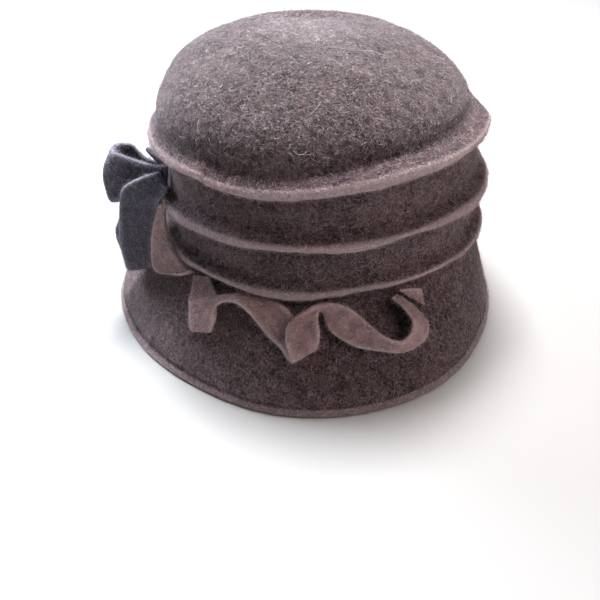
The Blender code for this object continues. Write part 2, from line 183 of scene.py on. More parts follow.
# Felt strips: the place of a strip's two long edges at each section, as in its solid. Only the
# top of the tail and the foot of the tip reach up to 5 mm further, so that no light shows
# between felt that is sewn together. "level" is a share of the brim's curve and "lift" one of
# the strip's width above it; "out" is a share of the bow's reach and "up" counts the tucks
STRIP_FELT = 0.0024
STRIP_WIDTH = 0.0190
BOW_REACH = 0.0350
RUFFLE = (
    {"turn": (-14.6, -7.0), "level": (0.28, 0.19), "lift": (0.10, 0.10)},
    {"turn": (-12.1, -2.4), "level": (0.42, 0.30), "lift": (0.07, 0.07)},
    {"turn": (-11.2, 0.2), "level": (0.49, 0.41), "lift": (0.07, 0.07)},
    {"turn": (-9.0, 2.0), "level": (0.55, 0.49), "lift": (0.08, 0.08)},
    {"turn": (-4.2, 2.8), "level": (0.69, 0.63), "lift": (0.22, 0.22)},
    {"turn": (-5.4, 3.6), "level": (0.66, 0.61), "lift": (0.44, 0.44)},
    {"turn": (-6.9, 2.4), "level": (0.55, 0.51), "lift": (0.46, 0.44)},
    {"turn": (-2.6, 4.0), "level": (0.42, 0.45), "lift": (0.34, 0.47)},
    {"turn": (6.6, 8.9), "level": (0.26, 0.44), "lift": (0.18, 0.60)},
    {"turn": (14.7, 13.6), "level": (0.22, 0.46), "lift": (0.13, 0.44)},
    {"turn": (21.8, 19.0), "level": (0.25, 0.52), "lift": (0.11, 0.18)},
    {"turn": (28.5, 23.6), "level": (0.41, 0.59), "lift": (0.09, 0.11)},
    {"turn": (33.7, 27.4), "level": (0.59, 0.70), "lift": (0.22, 0.24)},
    {"turn": (34.9, 25.8), "level": (0.56, 0.60), "lift": (0.44, 0.46)},
    {"turn": (34.4, 26.2), "level": (0.45, 0.49), "lift": (0.46, 0.50)},
    {"turn": (34.9, 30.6), "level": (0.35, 0.40), "lift": (0.34, 0.55)},
    {"turn": (35.8, 36.6), "level": (0.34, 0.36), "lift": (0.19, 0.65)},
    {"turn": (37.6, 42.8), "level": (0.47, 0.37), "lift": (0.12, 0.55)},
    {"turn": (43.4, 48.0), "level": (0.59, 0.49), "lift": (0.12, 0.50)},
    {"turn": (50.0, 51.8), "level": (0.66, 0.64), "lift": (0.14, 0.60)},
    {"turn": (56.3, 55.7), "level": (0.72, 0.73), "lift": (0.18, 0.71)},
    {"turn": (63.4, 59.0), "level": (0.71, 0.70), "lift": (0.20, 0.76)},
    {"turn": (66.5, 60.1), "level": (0.60, 0.63), "lift": (0.18, 0.76)},
    {"turn": (64.1, 59.1), "level": (0.41, 0.49), "lift": (0.16, 0.60)},
    {"turn": (60.5, 57.3), "level": (0.26, 0.35), "lift": (0.12, 0.39)},
)
STRIP_END = (
    {"turn": (61.0, 64.3), "level": (0.30, 0.33), "lift": (0.42, 0.10)},
    {"turn": (64.4, 65.9), "level": (0.32, 0.38), "lift": (0.44, 0.06)},
    {"turn": (68.3, 68.4), "level": (0.36, 0.44), "lift": (0.42, 0.03)},
)
BOW_TAIL = (
    {"turn": (-27.5, -29.2), "out": (-0.10, 0.02), "up": (1.02, 0.98)},
    {"turn": (-28.6, -31.8), "out": (-0.05, 0.23), "up": (0.31, 0.25)},
    {"turn": (-22.5, -33.0), "level": (0.34, 0.55), "lift": (0.67, 0.42)},
    {"turn": (-17.0, -29.0), "level": (0.32, 0.50), "lift": (0.39, 0.16)},
    {"turn": (-13.4, -20.0), "level": (0.29, 0.41), "lift": (0.32, 0.28)},
)
BOW_UPPER_LOOP = (
    {"turn": (-33.0, -30.0), "out": (-0.76, -0.36), "up": (1.50, 1.16), "belly": 0.00},
    {"turn": (-38.5, -39.5), "out": (0.17, 0.36), "up": (1.58, 0.85), "belly": 0.00},
    {"turn": (-40.9, -41.1), "out": (0.44, 0.70), "up": (1.68, 0.73), "belly": -0.06},
    {"turn": (-44.0, -43.8), "out": (0.58, 0.82), "up": (1.70, 0.71), "belly": -0.22},
    {"turn": (-48.0, -48.0), "out": (0.51, 0.70), "up": (1.70, 0.87), "belly": -0.14},
    {"turn": (-50.4, -50.4), "out": (0.32, 0.44), "up": (1.59, 1.00), "belly": -0.04},
    {"turn": (-50.0, -50.0), "out": (0.15, 0.16), "up": (1.37, 1.04), "belly": 0.00},
    {"turn": (-48.0, -48.6), "out": (-0.33, -0.02), "up": (1.26, 1.00), "belly": 0.00},
)
BOW_LOWER_LOOP = (
    {"turn": (-30.6, -27.0), "out": (-0.23, -0.45), "up": (1.51, 1.30)},
    {"turn": (-32.8, -27.6), "out": (0.23, -0.28), "up": (1.43, 1.16)},
    {"turn": (-35.0, -29.2), "out": (0.53, 0.03), "up": (1.24, 1.02)},
    {"turn": (-35.6, -31.2), "out": (0.66, 0.02), "up": (0.90, 0.74)},
    {"turn": (-36.4, -34.6), "out": (0.78, 0.22), "up": (0.15, 0.07)},
    {"turn": (-37.2, -36.0), "out": (0.78, 0.33), "up": (-0.45, -0.56)},
    {"turn": (-39.5, -38.4), "out": (0.76, 0.34), "up": (-0.74, -0.70)},
    {"turn": (-43.0, -41.5), "out": (0.80, 0.37), "up": (-0.58, -0.62)},
    {"turn": (-44.0, -43.0), "out": (0.85, 0.30), "up": (0.02, -0.04)},
    {"turn": (-44.4, -43.5), "out": (0.58, 0.06), "up": (0.46, 0.37)},
    {"turn": (-44.0, -43.5), "out": (0.24, -0.97), "up": (0.60, 0.56)},
)
BOW_TIP = (
    {"turn": (-44.0, -44.0), "out": (-0.90, -0.90), "up": (1.44, 1.12)},
    {"turn": (-47.0, -47.0), "out": (-0.31, -0.24), "up": (1.48, 1.32)},
    {"turn": (-49.0, -49.0), "out": (0.06, 0.05), "up": (1.56, 1.46)},
)
# Each strip takes a lit or a shaded copy of one felt and its wool: painted light on the ruffle, the
# strip's end and the tail, painted shade on the bow
STRIPS = (
    {"name": "ruffle_strip_felt", "node": "ruffle_strip", "sections": RUFFLE,
     "flat": (0.015, 0.243), "felt": "ruffle_felt_painted_light", "wool": "lip_wool"},
    {"name": "strip_end_felt", "node": "strip_end", "sections": STRIP_END,
     "flat": (0.0105, 0.0115), "felt": "ruffle_felt_painted_light", "wool": "lip_wool"},
    {"name": "bow_tail_felt", "node": "bow_tail", "sections": BOW_TAIL,
     "flat": (0.019, 0.058), "felt": "ruffle_felt_painted_light", "wool": "lip_wool"},
    {"name": "bow_upper_felt", "node": "bow_upper_loop", "sections": BOW_UPPER_LOOP,
     "flat": (0.023, 0.077), "felt": "bow_felt_painted_shade", "wool": "loose_wool"},
    {"name": "bow_lower_felt", "node": "bow_lower_loop", "sections": BOW_LOWER_LOOP,
     "flat": (0.018, 0.135), "felt": "bow_felt_painted_shade", "wool": "loose_wool"},
    {"name": "bow_tip_felt", "node": "bow_tip", "sections": BOW_TIP,
     "flat": (0.010, 0.014), "felt": "bow_felt_painted_shade", "wool": "loose_wool"},
)

# A strip's section is a flat oval: its thickness with the puffed nap, and the number of points
# between two sections, across each face and round each edge. Then the nap of its faces and cut
# edges, and how far in from an edge it spreads, as a share of half the thickness
STRIP_PUFF = 0.0033
STRIP_STEPS = 12
STRIP_ACROSS = 11
STRIP_ROUNDING = 5
STRIP_NAP = {"face": 0.25, "edge": 1.0, "spread": 1.1}

# Wool fibres: how long and thick they are, the degrees that they stand off the felt, how many
# bends they have, and how much they curl round, wander and fall back. FIBRE_TAPER is the share
# of the thickness that is left before the tip. "on" is the part of the hat that they grow on
FUZZ = {"length": (0.0010, 0.0036), "radius": 0.000060, "lift": (10.0, 75.0), "bends": 2,
        "curl": 0.6, "wander": 0.7, "fall": 0.5}
CURLS = {"length": (0.0030, 0.0080), "radius": 0.000080, "lift": (4.0, 40.0), "bends": 4,
         "curl": 0.8, "wander": 0.35, "fall": 0.40}
STRAYS = {"length": (0.008, 0.020), "radius": 0.000095, "lift": (3.0, 30.0), "bends": 9,
          "curl": 0.30, "wander": 0.22, "fall": 0.16}
FIBRE_TAPER = 0.5
BODY_FIBRES = (
    {"name": "dome_fuzz", "on": "dome", "kind": FUZZ, "count": 11500, "wool": "loose_wool"},
    {"name": "tuck_fuzz", "on": "tucks", "kind": FUZZ, "count": 18500, "wool": "lip_wool"},
    {"name": "brim_fuzz", "on": "brim", "kind": FUZZ, "count": 10000, "wool": "brown_wool"},
    {"name": "curled_fibres", "on": "hat", "kind": CURLS, "count": 7500, "wool": "pale_wool"},
    {"name": "stray_fibres", "on": "hat", "kind": STRAYS, "count": 300, "wool": "pale_wool"},
)
TRIM_FUZZ_COUNT = 14000
TRIM_CURL_COUNT = 2400

# How thick the fuzz grows: on even felt, what is lost of it where shade is painted, which keeps
# that shade dark, and added on a ridge.
# Long fibres are spread by the height on the hat and on ridges, and a strip's by its nap
FUZZ_EVEN = 0.16
FUZZ_LOST_IN_SHADE = 0.14
FUZZ_ON_RIDGES = 2.0
RIDGE_POWER = 1.5
LONG_FIBRES_EVEN = 0.3
STRIP_FUZZ_EVEN = 0.3
STRIP_CURLS_EVEN = 0.2
BARE_EDGE = 0.3 * FELT

# Felts: how fine the pattern is, and the colours of painted shade and of mottle, of even felt,
# where it is worn, and on ridges and fibres, whose paleness on the lips is partly painted light
FELTS = {
    "body_felt": {"fineness": 0.75,
                  "shade_and_mottle": (0.025, 0.011, 0.012, 1), "base": (0.088, 0.050, 0.060, 1),
                  "worn": (0.160, 0.096, 0.104, 1), "pale": (0.72, 0.555, 0.575, 1)},
    # The bow's copy of the trim felt is painted shade: darker and bluer, since the crown shades the
    # bow
    "bow_felt_painted_shade": {"fineness": 0.85,
                 "shade_and_mottle": (0.014, 0.010, 0.016, 1), "base": (0.042, 0.038, 0.062, 1),
                 "worn": (0.070, 0.064, 0.098, 1), "pale": (0.42, 0.41, 0.53, 1)},
    # The ruffle's copy of the trim felt, also used for the tail and the strip's end, is painted
    # light: far paler than the body's felt
    "ruffle_felt_painted_light": {"fineness": 0.72,
                    "shade_and_mottle": (0.200, 0.110, 0.114, 1), "base": (0.420, 0.242, 0.248, 1),
                    "worn": (0.540, 0.330, 0.338, 1), "pale": (0.90, 0.69, 0.69, 1)},
}
# The wools carry painted light and shade too: the lip wool is paler as painted light on the lips
# and the ruffle, the brown wool on the brim darker and redder as painted shade with a warm
# reflection, and the bow takes the dark loose wool as its painted shade
WOOLS = {
    "loose_wool": {"dark": (0.080, 0.068, 0.080, 1), "light": (0.60, 0.535, 0.575, 1)},
    "lip_wool": {"dark": (0.42, 0.275, 0.290, 1), "light": (0.92, 0.72, 0.735, 1)},
    "brown_wool": {"dark": (0.12, 0.056, 0.056, 1), "light": (0.72, 0.46, 0.46, 1)},
    "pale_wool": {"dark": (0.17, 0.130, 0.148, 1), "light": (0.90, 0.80, 0.79, 1)},
}

# Patterns in the felt: the scale of each noise for a metre, and the values of it that become
# nothing and all of the mask
SWIRL = {"scale": 260.0, "detail": 2.0, "reach": 0.006}
STRANDS = ({"scale": 330.0, "width": 0.030}, {"scale": 560.0, "width": 0.045})
STRAND_DETAIL = 1.5
MOTTLE = {"scale": 240.0, "detail": 5.0, "low": 0.40, "high": 0.60}
GRAIN = {"scale": 900.0, "detail": 3.0, "low": 0.36, "high": 0.64}
CLOUDS = {"scale": 38.0, "detail": 3.0, "low": 0.30, "high": 0.70}
STREAKS = {"scale": 900.0, "detail": 2.0, "low": 0.3, "high": 0.7}
HEIGHT_SHARES = {"fibres": 0.40, "grain": 0.30, "mottle": 0.30}
BUMP_DEPTH = 0.0012

# How the masks colour the felt: the nap at which painted shade and ridges start and are full,
# how far painted shade and mottle darken it, and how far ridges and fibre lines make it pale,
# which on the lips is partly painted light
PAINTED_SHADE_NAP = {"low": 0.1, "high": -0.9}
RIDGE_NAP = {"low": 0.1, "high": 1.1}
PAINTED_SHADE_SHARE = 0.85
MOTTLE_SHADE = 0.75
LINES_LOST_IN_SHADE = 0.92
LINES_EVEN = 0.55
LINES_GRAIN = 0.7
RIDGE_PALENESS = 0.70
FIBRE_STREAKS = 0.2

# Lights and what is round the hat
LIGHT_AIM = (0.0, 0.0, 0.10)
LIGHTS = (
    {"name": "overhead", "place": (-0.22, 0.32, 1.12), "size": 0.40, "watts": 31.0,
     "colour": (0.97, 0.98, 1.0)},
    {"name": "window_side", "place": (-0.98, 0.10, 0.60), "size": 0.5, "watts": 19.0,
     "colour": (0.80, 0.89, 1.0)},
    {"name": "room_side", "place": (1.00, 0.05, 0.80), "size": 0.6, "watts": 5.0,
     "colour": (1.0, 0.86, 0.80)},
)
ROOM_COLOUR = (0.95, 0.97, 1.0, 1.0)
ROOM_LIGHT = 0.05
ROOM_BRIGHTNESS = 0.8
FLOOR_REACH = 4.0
FLOOR_COLOUR = (0.46, 0.45, 0.44, 1.0)

# The camera stands at the photo's angle to the hat, above the floor, and its aim lies beside
# and below the middle of the crown's foot
CAMERA_TURN = 40.0
CAMERA_PITCH = 37.0
CAMERA_ROLL = -4.15
CAMERA_DISTANCE = 0.533
AIM_SIDE = 0.0196
AIM_HEIGHT = -0.023
LENS = 45.0


def outward(turn):
    """Unit vectors away from the crown's axis, (sin, -cos) of angles in degrees from the front."""
    angle = np.radians(turn)
    return np.stack([np.sin(angle), -np.cos(angle)], axis=-1)


TURNS = np.arange(COLUMNS) * 360.0 / COLUMNS
WALL_RADIUS = HEAD_RADIUS + FELT
DOME_RADIUS = DOME_WIDTH * WALL_RADIUS
DOME_HEIGHT = CROWN_HEIGHT * (1.0 - DOME_SPRING)
TUCK_HEIGHTS = [tuck["level"] * CROWN_HEIGHT for tuck in TUCKS]
GROOVE_HEIGHT = TUCK_HEIGHTS[-1] - GROOVE_DROP * TUCK_THICKNESS
STRIP_SEAT = STRIP_FELT / 2 + GAP
BOW_SEAT = WALL_RADIUS + TUCK_REACH + STRIP_SEAT


def smooth_loop(values, turn):
    """Read a closed row of evenly spaced values at any angle, on a Catmull-Rom curve."""
    values = np.asarray(values)
    place = np.mod(np.asarray(turn, dtype=float), 360.0) * len(values) / 360.0
    start = np.floor(place).astype(int)
    share = place - start
    before, here, after, beyond = (values[(start + step) % len(values)] for step in (-1, 0, 1, 2))
    slope = (after - before) / 2
    curve = before - 2.5 * here + 2.0 * after - 0.5 * beyond
    bend = 0.5 * (beyond - before) + 1.5 * (here - after)
    return here + share * (slope + share * (curve + share * bend))


def rim_radius(turn):
    """Distance from the crown's axis to the brim's edge."""
    return WALL_RADIUS + BRIM_OVERHANG * smooth_loop(BRIM_REACH, turn)


def brim_point(turn, share):
    """Radius and height of the brim's upper face: a cubic curve from the groove to the edge."""
    first, second = BRIM_HANDLES
    early = 3.0 * share * (1.0 - share) ** 2
    late = 3.0 * share ** 2 * (1.0 - share)
    out = early * first["out"] + late * second["out"] + share ** 3
    down = early * first["down"] + late * second["down"] + share ** 3
    radius = WALL_RADIUS + (rim_radius(turn) - WALL_RADIUS) * out
    return radius, GROOVE_HEIGHT * (1.0 - down)


def brim_normal(turn, share):
    """Radial and upright parts of the unit normal, from the brim curve's slope."""
    step = 0.01
    r_low, z_low = brim_point(turn, share - step)
    r_high, z_high = brim_point(turn, share + step)
    length = np.hypot(r_high - r_low, z_high - z_low)
    return (z_low - z_high) / length, (r_high - r_low) / length


def ring(radius, height, nap_and_shade):
    """A ring about the crown's axis: x, y, height and nap of each column."""
    flat = outward(TURNS) * np.reshape(radius, (-1, 1))
    return np.column_stack([flat, np.broadcast_to(height, COLUMNS), np.full(COLUMNS, nap_and_shade)])


def dent_depth(flat):
    """Depth of the dents: for each, a bell curve along and across its own direction."""
    depth = np.zeros(len(flat))
    for dent in DENTS:
        away = outward(dent["turn"])
        along = np.array([-away[1], away[0]])
        local = flat - away * dent["from_top"] * DOME_RADIUS
        across_share = local @ away / (dent["breadth"] * DOME_RADIUS)
        along_share = local @ along / (dent["length"] * DOME_RADIUS)
        fall = np.exp(-across_share ** 2 - along_share ** 2)
        depth = depth + dent["depth"] * DENT_DEPTH * fall
    return depth


def dome_ring(angle, inset, nap_and_shade):
    """A ring of the dome at an angle above its spring line: a leaning super-ellipsoid."""
    power = 2.0 / DOME_ROUNDNESS
    height = DOME_HEIGHT - inset
    radius = (DOME_RADIUS - inset) * np.cos(np.radians(angle)) ** power
    rise = height * np.sin(np.radians(angle)) ** power
    flat = outward(TURNS) * radius
    lean = DOME_LEAN * (flat @ outward(LEAN_TURN)) * rise / height
    rise = rise - lean - dent_depth(flat)
    flat = flat - outward(LEAN_TURN) * DOME_SHIFT * DOME_RADIUS
    return np.column_stack([flat, CROWN_HEIGHT - DOME_HEIGHT + rise, np.full(COLUMNS, nap_and_shade)])


def tuck_heights(tier):
    """Height of a tuck's ridge at each column: its level, less a bell curve for each sag."""
    height = np.full(COLUMNS, TUCK_HEIGHTS[tier])
    for sag in SAGS:
        if sag["tier"] == tier:
            height -= SAG * sag["drop"] * np.exp(-((TURNS - sag["turn"]) / sag["spread"]) ** 2)
    return height


def tuck_rings(tuck, height, top_ring):
    """Rings of one tuck: a flare blended from top_ring to the lip, the lip's arc, the groove."""
    fullness = 1.0 - tuck["fade"] * np.exp(-((TURNS - FADE_TURN) / FADE_SPREAD) ** 4)
    half = fullness * TUCK_THICKNESS / 2
    lip_radius = WALL_RADIUS + fullness * tuck["reach"] * TUCK_REACH - half
    lip = []
    for row in TUCK_LIP:
        angle = np.radians(row["angle"])
        radius = lip_radius + half * np.cos(angle)
        lip.append(ring(radius, height + half * np.sin(angle), row["nap_and_shade"]))
    flare = []
    for row in TUCK_FLARE:
        shares = np.array([row["out"], row["out"], 1.0 - row["up"], 0.0])
        blend = top_ring + (lip[0] - top_ring) * shares
        blend[:, 3] = row["nap_and_shade"]
        flare.append(blend)
    groove = ring(WALL_RADIUS, height - GROOVE_DROP * TUCK_THICKNESS, GROOVE_SHADE)
    return flare + lip + [groove]


def outer_rings():
    """Rings of the hat's outside, from the first one under the top to the brim's edge."""
    rings = [dome_ring(row["angle"], 0.0, row["nap_and_shade"]) for row in DOME_ROWS]
    top_ring = dome_ring(DOME_FOOT, 0.0, 0.0)
    for tier, tuck in enumerate(TUCKS):
        if tier > 0:
            top_ring = ring(WALL_RADIUS, tuck_heights(tier) + TUCK_RISE, TUCK_TOP_SHADE)
        rings += tuck_rings(tuck, tuck_heights(tier), top_ring)
    rings += [ring(*brim_point(TURNS, row["level"]), row["nap_and_shade"]) for row in BRIM_ROWS]
    edge = rim_radius(TURNS)
    rings.append(ring(edge, EDGE_ROUND * FELT, EDGE_NAPS["outer"]))
    rings.append(ring(edge - EDGE_ROUND * FELT, 0.0, EDGE_NAPS["foot"]))
    return rings


def inner_rings():
    """Rings of the hat's inside, from the brim's edge up to the last one under the top."""
    across = brim_normal(TURNS, EDGE_SHARE)[0]
    rings = [ring(rim_radius(TURNS) - FELT / across, 0.0, EDGE_NAPS["inner"])]
    for row in reversed(BRIM_ROWS[1:]):
        radius, height = brim_point(TURNS, row["level"])
        across, upright = brim_normal(TURNS, row["level"])
        rings.append(ring(radius - FELT * across, height - FELT * upright, 0.0))
    rings += [ring(HEAD_RADIUS, height, 0.0) for height in reversed(TUCK_HEIGHTS)]
    rings.append(dome_ring(DOME_FOOT, FELT, 0.0))
    rings += [dome_ring(row["angle"], FELT, 0.0) for row in reversed(DOME_ROWS)]
    return rings


def through(rings, step, fine_rings=0):
    """Rows of a smooth surface through the rings: Hermite cubics whose slopes are the mean of
    the slopes beside each ring, weighted by distance, with rows about a step apart. The last
    fine_rings gaps are cut at the edge's step."""
    rings = np.asarray(rings)
    gaps = np.linalg.norm(np.diff(rings[..., :3], axis=0), axis=-1).mean(axis=1)[:, None, None]
    slopes = np.diff(rings, axis=0) / gaps
    middle = (slopes[1:] * gaps[:-1] + slopes[:-1] * gaps[1:]) / (gaps[1:] + gaps[:-1])
    tangents = np.concatenate([slopes[:1], middle, slopes[-1:]])
    rows = []
    for index, gap in enumerate(gaps):
        length = EDGE_STEP if index >= len(gaps) - fine_rings else step
        count = max(2, int(np.ceil(gap.item() / length)))
        share = np.linspace(0.0, 1.0, count, endpoint=False)[:, None, None]
        start, end = rings[index], rings[index + 1]
        rows.append((2 * share ** 3 - 3 * share ** 2 + 1) * start
                    + (3 * share ** 2 - 2 * share ** 3) * end
                    + gap * (share ** 3 - 2 * share ** 2 + share) * tangents[index]
                    + gap * (share ** 3 - share ** 2) * tangents[index + 1])
    return np.concatenate(rows + [rings[-1:]])


def unit(vectors):
    """The same vectors at length one."""
    return vectors / np.maximum(np.linalg.norm(vectors, axis=-1, keepdims=True), 1e-12)


def grid_normals(points):
    """Unit normals of a grid whose rows are rings: the cross product of its two directions."""
    down = np.gradient(points, axis=0)
    across = (np.roll(points, -1, axis=1) - np.roll(points, 1, axis=1)) / 2
    return unit(np.cross(down, across))


def lattice_noise(points, size, seed):
    """Smooth random values from -1 to 1: random values at the corners of cubes of one size,
    blended with s*s*(3-2s) in each direction."""
    random = np.random.default_rng(seed)
    order = random.permutation(LATTICE)
    values = random.uniform(-1.0, 1.0, LATTICE)
    place = points / size
    cell = np.floor(place).astype(int)
    share = place - cell
    share = share * share * (3.0 - 2.0 * share)
    total = np.zeros(points.shape[:-1])
    for corner in np.ndindex(2, 2, 2):
        weight = np.prod(np.where(np.array(corner) == 1, share, 1.0 - share), axis=-1)
        x, y, z = np.moveaxis((cell + corner) % LATTICE, -1, 0)
        total += weight * values[order[(order[(order[x] + y) % LATTICE] + z) % LATTICE]]
    return total


def lumps(points, scale=1.0):
    """How far uneven felt stands out at each point: the sum of its lattice noises."""
    return scale * sum(lump["height"] * lattice_noise(points, lump["size"], SEED + index)
                       for index, lump in enumerate(LUMPS))


def make_piece(name, points, faces, material, attributes):
    """A smooth shaded mesh object with named values on its points."""
    mesh = bpy.data.meshes.new(name)
    mesh.from_pydata(points.reshape(-1, 3), [], faces)
    for label, values in attributes.items():
        layer = mesh.attributes.new(label, "FLOAT", "POINT")
        layer.data.foreach_set("value", np.ascontiguousarray(values, dtype=np.float32).ravel())
    mesh.materials.append(material)
    mesh.shade_smooth()
    piece = bpy.data.objects.new(name, mesh)
    bpy.context.scene.collection.objects.link(piece)
    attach(piece, "root")
    return piece


def skin_faces(rows, columns):
    """Corner numbers of a closed skin: the four-sided faces of a grid whose rows are rings, and
    fans of triangles to its first and last ring from the two poles, which follow the grid."""
    numbers = np.arange(rows * columns).reshape(rows, columns)
    closed = np.column_stack([numbers, numbers[:, 0]])
    corners = [closed[:-1, :-1], closed[1:, :-1], closed[1:, 1:], closed[:-1, 1:]]
    first, last = (np.column_stack([np.full(columns, rows * columns + pole), numbers[row],
                                    np.roll(numbers[row], -1)])
                   for pole, row in ((0, 0), (1, -1)))
    return np.stack(corners, axis=-1).reshape(-1, 4), np.concatenate([first, last[:, ::-1]])


def body_surface():
    """The body's grid of points with their nap, their normals and the row of the outer edge's
    foot. Each point is moved along its normal by the lumps, less a bell curve for the hem."""
    outer = through(outer_rings(), ROW_STEP, fine_rings=EDGE_RINGS)
    inner = through(inner_rings(), INNER_STEP)
    grid = np.concatenate([outer, inner])
    points, nap_and_shade = grid[..., :3].copy(), np.clip(grid[..., 3], -1.0, 1.0)
    normals = grid_normals(points)
    last = len(outer) - 1
    walk = np.linalg.norm(np.diff(points[:last + 1], axis=0), axis=-1)
    to_edge = np.zeros(nap_and_shade.shape)
    to_edge[:last] = np.cumsum(walk[::-1], axis=0)[::-1]
    to_edge[last + 1:] = CROWN_HEIGHT
    shown = np.cos(np.radians(TURNS - HEM_TURN)) ** 2
    hem = np.exp(-((to_edge - HEM_WIDTH) / HEM_LINE) ** 2)
    hem = hem * (HEM_FAINTEST + (1.0 - HEM_FAINTEST) * shown)
    free = np.clip(points[..., 2] / LEVEL_FOOT, 0.0, 1.0)
    moved = points + normals * ((lumps(points) - HEM_DEPTH * hem) * free)[..., None]
    moved[..., 2] = np.maximum(moved[..., 2], 0.0)
    band = np.clip((HEM_WIDTH - to_edge) / HEM_LINE, 0.0, 1.0)
    hemmed = np.maximum(nap_and_shade, HEM_PALENESS * band) - HEM_SHADE * hem
    nap_and_shade = np.where(np.arange(len(nap_and_shade))[:, None] <= last, hemmed, nap_and_shade)
    return moved, nap_and_shade, normals, last


def make_body(points, nap_and_shade, material):
    """The felt body as one closed skin with a pole at the top of its outside and inside."""
    poles = np.stack([points[0].mean(axis=0), points[-1].mean(axis=0)])
    walls, fans = skin_faces(*nap_and_shade.shape)
    everything = np.concatenate([points.reshape(-1, 3), poles])
    values = np.concatenate([nap_and_shade.ravel(), [nap_and_shade[0, 0], nap_and_shade[-1, 0]]])
    return make_piece("felt_body", everything, walls.tolist() + fans.tolist(), material,
                      {"nap_and_shade": values})


def strip_edge(sections, side):
    """Points of one long edge of a strip: side 0 or 1 of each section of its table."""
    points = []
    for section in sections:
        turn = section["turn"][side]
        if "level" in section:
            radius, height = brim_point(turn, section["level"][side])
            height = height + STRIP_SEAT + section["lift"][side] * STRIP_WIDTH
        else:
            out, up = section["out"][side], section["up"][side]
            reach = BOW_REACH if out > 0 else BOW_SEAT - WALL_RADIUS - GAP
            radius = BOW_SEAT + out * reach
            height = np.interp(max(up, 0.0), (0, 1, 2), TUCK_HEIGHTS[::-1])
            height = height + min(up, 0.0) * (TUCK_HEIGHTS[1] - TUCK_HEIGHTS[2])
        points.append([*(outward(turn) * radius), height])
    return np.array(points)


def smooth_line(values, steps):
    """A Catmull-Rom curve through the rows of values, with a number of steps between two."""
    values = np.asarray(values, dtype=float)
    ends = np.vstack([2 * values[0] - values[1], values, 2 * values[-1] - values[-2]])
    before, here, after, beyond = ends[:-3], ends[1:-2], ends[2:-1], ends[3:]
    share = np.linspace(0.0, 1.0, steps, endpoint=False)[None, :, None]
    slope = (after - before)[:, None] / 2
    curve = (before - 2.5 * here + 2.0 * after - 0.5 * beyond)[:, None]
    bend = (0.5 * (beyond - before) + 1.5 * (here - after))[:, None]
    line = here[:, None] + share * (slope + share * (curve + share * bend))
    return np.vstack([line.reshape(-1, values.shape[1]), values[-1:]])


def strip_surface(sections):
    """A strip's grid of points, ring by ring: a flat oval with round edges, swept between the
    two long edges, with a nap that grows towards them as a bell curve."""
    first = smooth_line(strip_edge(sections, 0), STRIP_STEPS)
    second = smooth_line(strip_edge(sections, 1), STRIP_STEPS)
    belly = smooth_line([[section.get("belly", 0.0)] for section in sections], STRIP_STEPS)
    along = unit(np.gradient((first + second) / 2, axis=0))
    normal = unit(np.cross(second - first, along))[:, None]
    width = np.linalg.norm(second - first, axis=-1)[:, None]
    half = STRIP_PUFF / 2
    flat = np.linspace(0.0, 1.0, STRIP_ACROSS)
    arc = np.radians(np.linspace(90.0, -90.0, STRIP_ROUNDING + 2))[1:-1]
    inside = half + flat * (width - 2 * half)
    far_edge = width - half + half * np.cos(arc)
    near_edge = np.broadcast_to(half - half * np.cos(arc), far_edge.shape)
    place = np.concatenate([inside, far_edge, inside[:, ::-1], near_edge], axis=1)
    level = np.concatenate([np.ones(STRIP_ACROSS), np.sin(arc),
                            -np.ones(STRIP_ACROSS), -np.sin(arc)])
    share = (place / width)[..., None]
    points = first[:, None] + (second - first)[:, None] * share
    points = points + normal * (belly * STRIP_WIDTH)[:, None] * np.sin(np.pi * share)
    points = points + normal * (half * level)[None, :, None]
    from_side = np.minimum(place, width - place)
    fall = np.exp(-(from_side / (STRIP_NAP["spread"] * half)) ** 2)
    nap_and_shade = STRIP_NAP["face"] + (STRIP_NAP["edge"] - STRIP_NAP["face"]) * fall
    return points, nap_and_shade


def make_strip(strip, axis, material):
    """A strip of felt with cut ends, its surface uneven, sitting where its solid is, and the
    grid of its points with their nap and outward normals."""
    points, nap_and_shade = strip_surface(strip["sections"])
    ends = np.stack([points[0].mean(axis=0), points[-1].mean(axis=0)])
    normals = grid_normals(points)
    volume = np.einsum("ijk,ijk->", points - points.mean(axis=(0, 1)), normals)
    outwards = 1.0 if volume > 0 else -1.0
    points = points + normals * (outwards * lumps(points, scale=STRIP_LUMPS))[..., None] + axis
    walls, fans = skin_faces(*nap_and_shade.shape)
    if outwards < 0:
        walls, fans = walls[:, ::-1], fans[:, ::-1]
    everything = np.concatenate([points.reshape(-1, 3), ends + axis])
    values = np.concatenate([nap_and_shade.ravel(), [STRIP_NAP["edge"]] * 2])
    piece = make_piece(strip["name"], everything, walls.tolist() + fans.tolist(), material,
                       {"nap_and_shade": values})
    return piece, (points, nap_and_shade, normals * outwards)


def scatter(points, normals, weight, count, random):
    """Random places on a grid of closed rows, as likely in a cell as its area times its weight,
    and the normals there."""
    points, normals = (np.concatenate([grid, grid[:, :1]], axis=1) for grid in (points, normals))
    weight = np.concatenate([weight, weight[:, :1]], axis=1)
    side = points[1:, :-1] - points[:-1, :-1]
    area = np.linalg.norm(np.cross(side, points[:-1, 1:] - points[:-1, :-1]), axis=-1)
    chance = (area * weight[:-1, :-1]).ravel()
    cell = random.choice(chance.size, count, p=chance / chance.sum())
    row, column = np.unravel_index(cell, area.shape)
    u, v = random.random((2, count, 1))
    blend = ((1 - u) * (1 - v), u * (1 - v), (1 - u) * v, u * v)
    corners = ((row, column), (row + 1, column), (row, column + 1), (row + 1, column + 1))
    place = sum(share * points[corner] for share, corner in zip(blend, corners))
    up = unit(sum(share * normals[corner] for share, corner in zip(blend, corners)))
    return place, up


